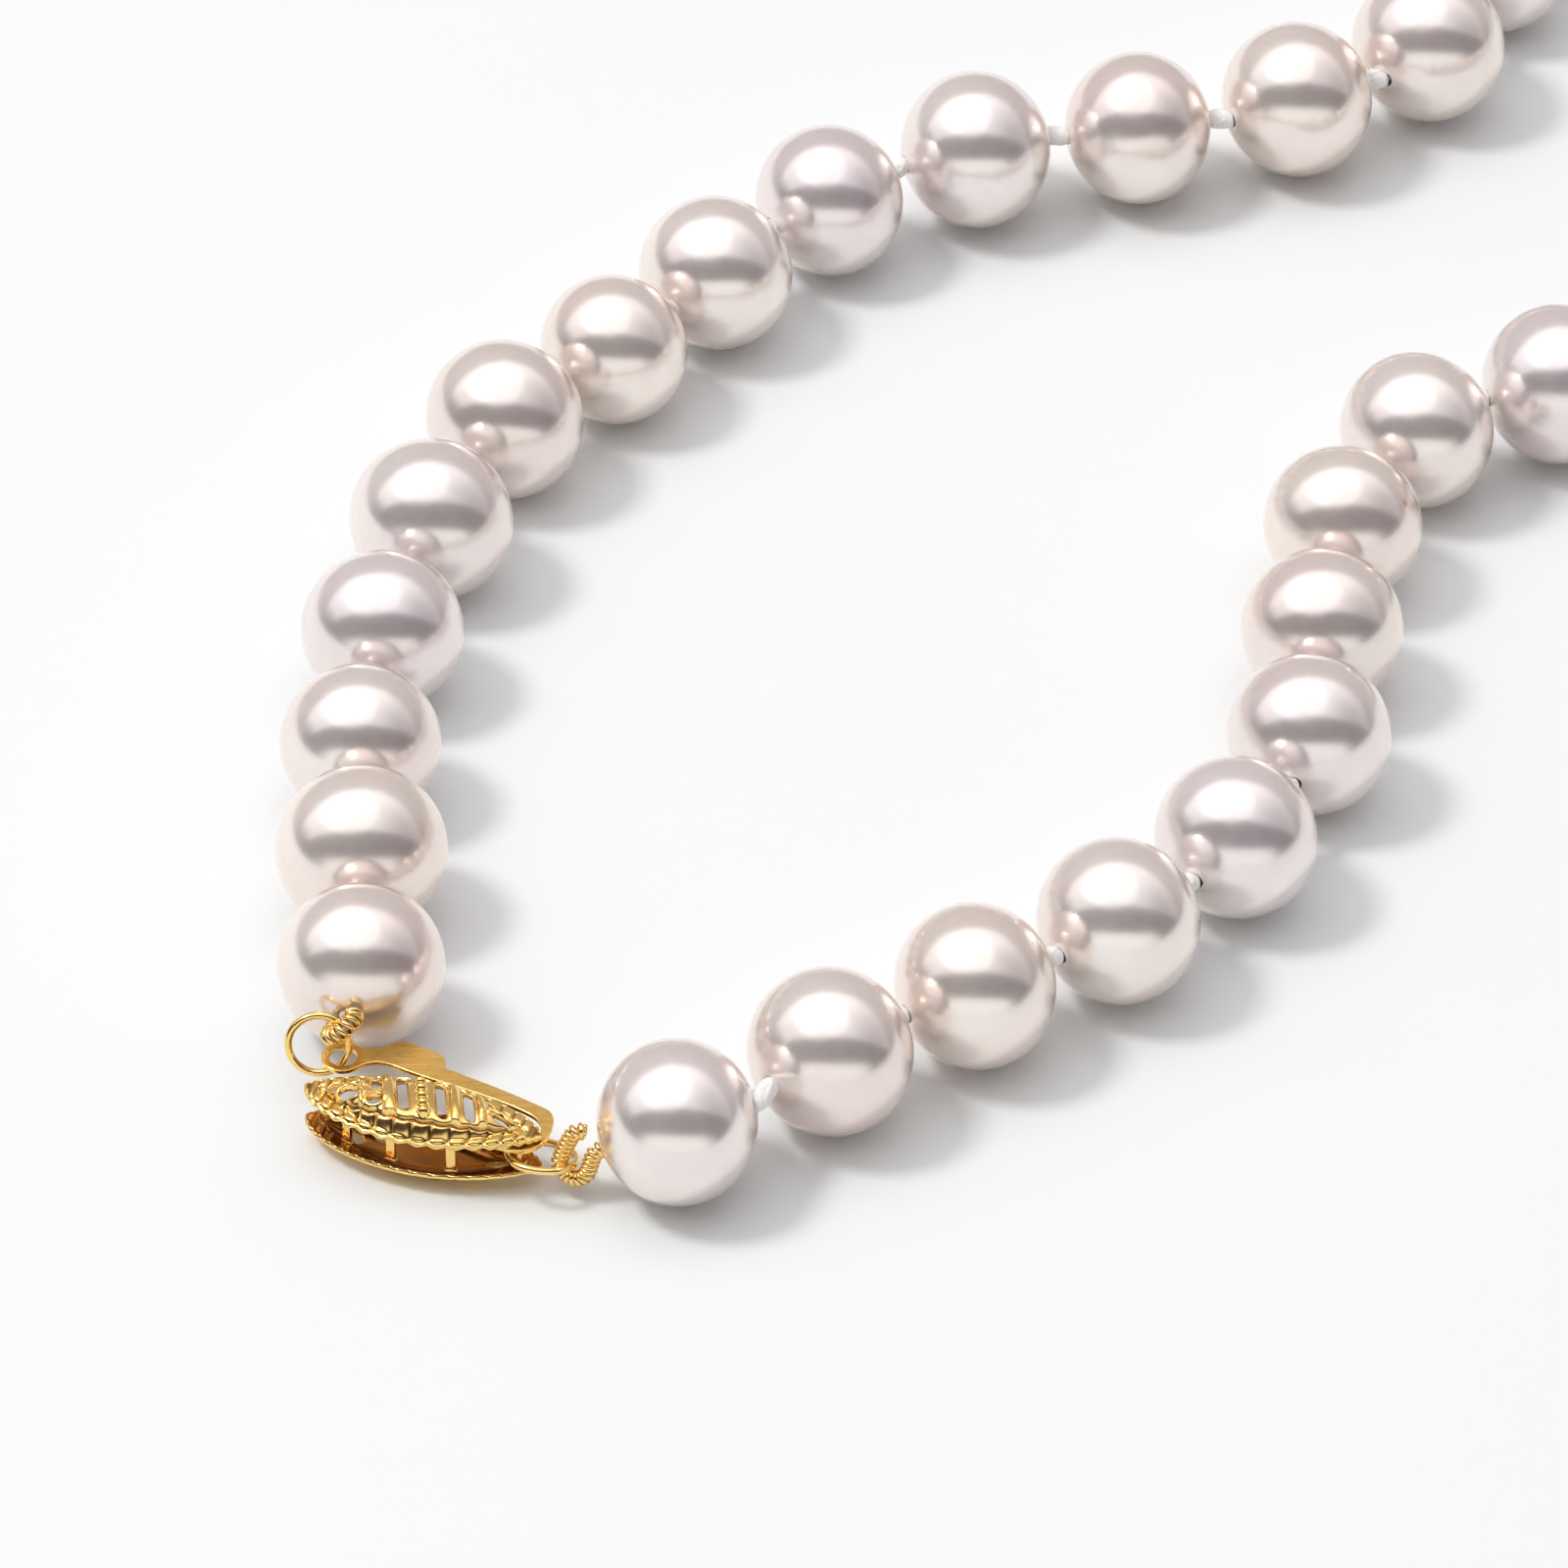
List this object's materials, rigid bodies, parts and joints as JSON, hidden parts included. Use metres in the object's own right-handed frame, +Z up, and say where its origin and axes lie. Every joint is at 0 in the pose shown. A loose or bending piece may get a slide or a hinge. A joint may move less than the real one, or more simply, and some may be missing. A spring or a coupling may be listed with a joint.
{
  "type": "pearl necklace",
  "caption": "Single strand of knotted round white pearls on silk, closed by a gold filigree fishhook clasp.",
  "frame": {"origin": "bottom centre of the bounding box, on the surface that the necklace lies on", "axes": "+Z up; the clasp is at low X and low Y, and the two strands run from it towards +X and +Y"},
  "size_m": [0.137, 0.1388, 0.0088],
  "materials": {
    "nacre": "satin",
    "silk": "matte",
    "gold_polished": "polished",
    "gold_satin": "satin"
  },
  "bodies": {
    "case": {"case_top_plate": "gold_polished", "case_bottom_plate": "gold_polished", "side_post_1": "gold_satin", "side_post_2": "gold_satin", "side_post_3": "gold_satin", "end_post": "gold_satin"},
    "hook": {"hook": "gold_satin"},
    "ring_left": {"jump_ring_left": "gold_polished"},
    "ring_right": {"jump_ring_right": "gold_polished"},
    "left_01": {"french_wire_left": "gold_polished", "pearl_left_01": "nacre", "silk_thread_left": "silk"},
    "left_02": {"pearl_left_02": "nacre"},
    "left_03": {"pearl_left_03": "nacre"},
    "left_04": {"pearl_left_04": "nacre"},
    "left_05": {"pearl_left_05": "nacre"},
    "left_06": {"pearl_left_06": "nacre"},
    "left_07": {"pearl_left_07": "nacre"},
    "left_08": {"pearl_left_08": "nacre"},
    "left_09": {"pearl_left_09": "nacre"},
    "left_10": {"pearl_left_10": "nacre"},
    "left_11": {"pearl_left_11": "nacre"},
    "left_12": {"pearl_left_12": "nacre"},
    "left_13": {"pearl_left_13": "nacre"},
    "left_14": {"pearl_left_14": "nacre"},
    "left_15": {"pearl_left_15": "nacre"},
    "left_16": {"pearl_left_16": "nacre"},
    "left_17": {"pearl_left_17": "nacre"},
    "left_18": {"pearl_left_18": "nacre"},
    "left_19": {"pearl_left_19": "nacre"},
    "left_20": {"pearl_left_20": "nacre"},
    "left_21": {"pearl_left_21": "nacre"},
    "left_22": {"pearl_left_22": "nacre"},
    "right_01": {"french_wire_right": "gold_polished", "pearl_right_01": "nacre", "silk_thread_right": "silk"},
    "right_02": {"pearl_right_02": "nacre"},
    "right_03": {"pearl_right_03": "nacre"},
    "right_04": {"pearl_right_04": "nacre"},
    "right_05": {"pearl_right_05": "nacre"},
    "right_06": {"pearl_right_06": "nacre"},
    "right_07": {"pearl_right_07": "nacre"},
    "right_08": {"pearl_right_08": "nacre"},
    "right_09": {"pearl_right_09": "nacre"},
    "right_10": {"pearl_right_10": "nacre"},
    "right_11": {"pearl_right_11": "nacre"},
    "right_12": {"pearl_right_12": "nacre"},
    "right_13": {"pearl_right_13": "nacre"},
    "right_14": {"pearl_right_14": "nacre"},
    "right_15": {"pearl_right_15": "nacre"},
    "right_16": {"pearl_right_16": "nacre"},
    "right_17": {"pearl_right_17": "nacre"},
    "right_18": {"pearl_right_18": "nacre"},
    "right_19": {"pearl_right_19": "nacre"},
    "right_20": {"pearl_right_20": "nacre"},
    "right_21": {"pearl_right_21": "nacre"},
    "right_22": {"pearl_right_22": "nacre"}
  },
  "joints": [
    {"name": "hook_swing", "type": "hinge", "parent": "case", "child": "hook", "pos_m": [-0.05572, -0.06481, 0.0021], "axis": [0, 0, -1], "range_deg": [0, 35]},
    {"name": "ring_left_turn", "type": "hinge", "parent": "hook", "child": "ring_left", "pos_m": [-0.0646, -0.05882, 0.00273], "axis": [0, 0, 1], "range_deg": [0, 35]},
    {"name": "ring_right_turn", "type": "hinge", "parent": "case", "child": "ring_right", "pos_m": [-0.05572, -0.06481, 0.0021], "axis": [0, 0, -1], "range_deg": [0, 35]},
    {"name": "end_left_swing", "type": "hinge", "parent": "ring_left", "child": "left_01", "pos_m": [-0.06462, -0.05831, 0.00442], "axis": [-0.6428, 0.2681, 0.7176], "range_deg": [0, 30]},
    {"name": "end_right_lift", "type": "hinge", "parent": "ring_right", "child": "right_01", "pos_m": [-0.05297, -0.06572, 0.00185], "axis": [0.297, 0.9035, -0.309], "range_deg": [0, 30]},
    {"name": "knot_left_01", "type": "hinge", "parent": "left_01", "child": "left_02", "pos_m": [-0.06331, -0.04927, 0.00429], "axis": [0, 0, 1], "range_deg": [0, 25], "deforming": ["silk_thread_left"]},
    {"name": "knot_left_02", "type": "hinge", "parent": "left_02", "child": "left_03", "pos_m": [-0.06452, -0.04036, 0.00436], "axis": [0.9994, 0.0335, 0], "range_deg": [-25, 25]},
    {"name": "knot_left_03", "type": "hinge", "parent": "left_03", "child": "left_04", "pos_m": [-0.06409, -0.03169, 0.00412], "axis": [0, 0, 1], "range_deg": [0, 25]},
    {"name": "knot_left_04", "type": "hinge", "parent": "left_04", "child": "left_05", "pos_m": [-0.06257, -0.02269, 0.00436], "axis": [-0.9678, 0.2517, 0], "range_deg": [-25, 25]},
    {"name": "knot_left_05", "type": "hinge", "parent": "left_05", "child": "left_06", "pos_m": [-0.05963, -0.01377, 0.00435], "axis": [0, 0, 1], "range_deg": [0, 25]},
    {"name": "knot_left_06", "type": "hinge", "parent": "left_06", "child": "left_07", "pos_m": [-0.05473, -0.00634, 0.00415], "axis": [0.7383, -0.6744, 0], "range_deg": [-25, 25]},
    {"name": "knot_left_07", "type": "hinge", "parent": "left_07", "child": "left_08", "pos_m": [-0.04888, -0.00051, 0.00409], "axis": [0, 0, 1], "range_deg": [0, 25]},
    {"name": "knot_left_08", "type": "hinge", "parent": "left_08", "child": "left_09", "pos_m": [-0.04351, 0.0065, 0.00423], "axis": [-0.7254, 0.6884, 0], "range_deg": [-25, 25]},
    {"name": "knot_left_09", "type": "hinge", "parent": "left_09", "child": "left_10", "pos_m": [-0.03648, 0.01204, 0.00419], "axis": [0, 0, 1], "range_deg": [0, 25]},
    {"name": "knot_left_10", "type": "hinge", "parent": "left_10", "child": "left_11", "pos_m": [-0.02771, 0.01491, 0.00429], "axis": [0.226, -0.9741, 0], "range_deg": [-25, 25]},
    {"name": "knot_left_11", "type": "hinge", "parent": "left_11", "child": "left_12", "pos_m": [-0.01878, 0.01653, 0.00419], "axis": [0, 0, 1], "range_deg": [0, 25]},
    {"name": "knot_left_12", "type": "hinge", "parent": "left_12", "child": "left_13", "pos_m": [-0.01027, 0.01997, 0.00433], "axis": [-0.5531, 0.8331, 0], "range_deg": [-25, 25]},
    {"name": "knot_left_13", "type": "hinge", "parent": "left_13", "child": "left_14", "pos_m": [-0.00469, 0.02692, 0.00427], "axis": [0, 0, 1], "range_deg": [0, 25]},
    {"name": "knot_left_14", "type": "hinge", "parent": "left_14", "child": "left_15", "pos_m": [-0.00138, 0.03526, 0.00424], "axis": [0.8732, -0.4873, 0], "range_deg": [-25, 25]},
    {"name": "knot_left_15", "type": "hinge", "parent": "left_15", "child": "left_16", "pos_m": [0.00344, 0.04259, 0.00424], "axis": [0, 0, 1], "range_deg": [0, 25]},
    {"name": "knot_left_16", "type": "hinge", "parent": "left_16", "child": "left_17", "pos_m": [0.00853, 0.04978, 0.00424], "axis": [-0.7661, 0.6428, 0], "range_deg": [-25, 25]},
    {"name": "knot_left_17", "type": "hinge", "parent": "left_17", "child": "left_18", "pos_m": [0.01464, 0.05605, 0.00418], "axis": [0, 0, 1], "range_deg": [0, 25]},
    {"name": "knot_left_18", "type": "hinge", "parent": "left_18", "child": "left_19", "pos_m": [0.02167, 0.06119, 0.00419], "axis": [0.4963, -0.8682, 0], "range_deg": [-25, 25]},
    {"name": "knot_left_19", "type": "hinge", "parent": "left_19", "child": "left_20", "pos_m": [0.02973, 0.06464, 0.00419], "axis": [0, 0, 1], "range_deg": [0, 25]},
    {"name": "knot_left_20", "type": "hinge", "parent": "left_20", "child": "left_21", "pos_m": [0.03837, 0.06585, 0.00418], "axis": [0.0115, 0.9999, 0], "range_deg": [-25, 25]},
    {"name": "knot_left_21", "type": "hinge", "parent": "left_21", "child": "left_22", "pos_m": [0.0471, 0.0644, 0.0043], "axis": [0, 0, 1], "range_deg": [-25, 25]},
    {"name": "knot_right_01", "type": "hinge", "parent": "right_01", "child": "right_02", "pos_m": [-0.0436, -0.06397, 0.00488], "axis": [0, 0, -1], "range_deg": [0, 25], "deforming": ["silk_thread_right"]},
    {"name": "knot_right_02", "type": "hinge", "parent": "right_02", "child": "right_03", "pos_m": [-0.03691, -0.05722, 0.00407], "axis": [0.5654, -0.8248, 0], "range_deg": [-25, 25]},
    {"name": "knot_right_03", "type": "hinge", "parent": "right_03", "child": "right_04", "pos_m": [-0.02914, -0.05299, 0.00435], "axis": [0, 0, -1], "range_deg": [0, 25]},
    {"name": "knot_right_04", "type": "hinge", "parent": "right_04", "child": "right_05", "pos_m": [-0.02224, -0.04728, 0.00424], "axis": [-0.7286, 0.6849, 0], "range_deg": [-25, 25]},
    {"name": "knot_right_05", "type": "hinge", "parent": "right_05", "child": "right_06", "pos_m": [-0.01701, -0.03993, 0.00425], "axis": [0, 0, -1], "range_deg": [0, 25]},
    {"name": "knot_right_06", "type": "hinge", "parent": "right_06", "child": "right_07", "pos_m": [-0.01482, -0.03139, 0.00427], "axis": [0.9938, -0.1115, 0], "range_deg": [-25, 25]},
    {"name": "knot_right_07", "type": "hinge", "parent": "right_07", "child": "right_08", "pos_m": [-0.01451, -0.02261, 0.00422], "axis": [0, 0, -1], "range_deg": [0, 25]},
    {"name": "knot_right_08", "type": "hinge", "parent": "right_08", "child": "right_09", "pos_m": [-0.012, -0.01396, 0.00418], "axis": [-0.8819, 0.4713, 0], "range_deg": [-25, 25]},
    {"name": "knot_right_09", "type": "hinge", "parent": "right_09", "child": "right_10", "pos_m": [-0.00569, -0.00801, 0.00426], "axis": [0, 0, -1], "range_deg": [0, 25]},
    {"name": "knot_right_10", "type": "hinge", "parent": "right_10", "child": "right_11", "pos_m": [0.00273, -0.00526, 0.00424], "axis": [0.371, -0.9286, 0], "range_deg": [-25, 25]},
    {"name": "knot_right_11", "type": "hinge", "parent": "right_11", "child": "right_12", "pos_m": [0.01071, -0.00201, 0.00409], "axis": [0, 0, -1], "range_deg": [0, 25]},
    {"name": "knot_right_12", "type": "hinge", "parent": "right_12", "child": "right_13", "pos_m": [0.01892, 0.00039, 0.00417], "axis": [-0.2956, 0.9553, 0], "range_deg": [-25, 25]},
    {"name": "knot_right_13", "type": "hinge", "parent": "right_13", "child": "right_14", "pos_m": [0.02721, 0.00303, 0.00418], "axis": [0, 0, -1], "range_deg": [0, 25]},
    {"name": "knot_right_14", "type": "hinge", "parent": "right_14", "child": "right_15", "pos_m": [0.03533, 0.0059, 0.00419], "axis": [0.3785, -0.9256, 0], "range_deg": [-25, 25]},
    {"name": "knot_right_15", "type": "hinge", "parent": "right_15", "child": "right_16", "pos_m": [0.04336, 0.00964, 0.00429], "axis": [0, 0, -1], "range_deg": [0, 25]},
    {"name": "knot_right_16", "type": "hinge", "parent": "right_16", "child": "right_17", "pos_m": [0.05073, 0.01443, 0.00417], "axis": [-0.6201, 0.7846, 0], "range_deg": [-25, 25]},
    {"name": "knot_right_17", "type": "hinge", "parent": "right_17", "child": "right_18", "pos_m": [0.057, 0.02045, 0.0042], "axis": [0, 0, -1], "range_deg": [0, 25]},
    {"name": "knot_right_18", "type": "hinge", "parent": "right_18", "child": "right_19", "pos_m": [0.06176, 0.0279, 0.00426], "axis": [0.9094, -0.4159, 0], "range_deg": [-25, 25]},
    {"name": "knot_right_19", "type": "hinge", "parent": "right_19", "child": "right_20", "pos_m": [0.06427, 0.03642, 0.00426], "axis": [0, 0, -1], "range_deg": [0, 25]},
    {"name": "knot_right_20", "type": "hinge", "parent": "right_20", "child": "right_21", "pos_m": [0.064, 0.04533, 0.00423], "axis": [-0.9803, -0.1977, 0], "range_deg": [-25, 25]},
    {"name": "knot_right_21", "type": "hinge", "parent": "right_21", "child": "right_22", "pos_m": [0.06079, 0.05352, 0.00416], "axis": [0, 0, -1], "range_deg": [-25, 25]}
  ],
  "couplings": [
    {"joint": "ring_left_turn", "follows": "hook_swing", "ratio": 1}
  ]
}
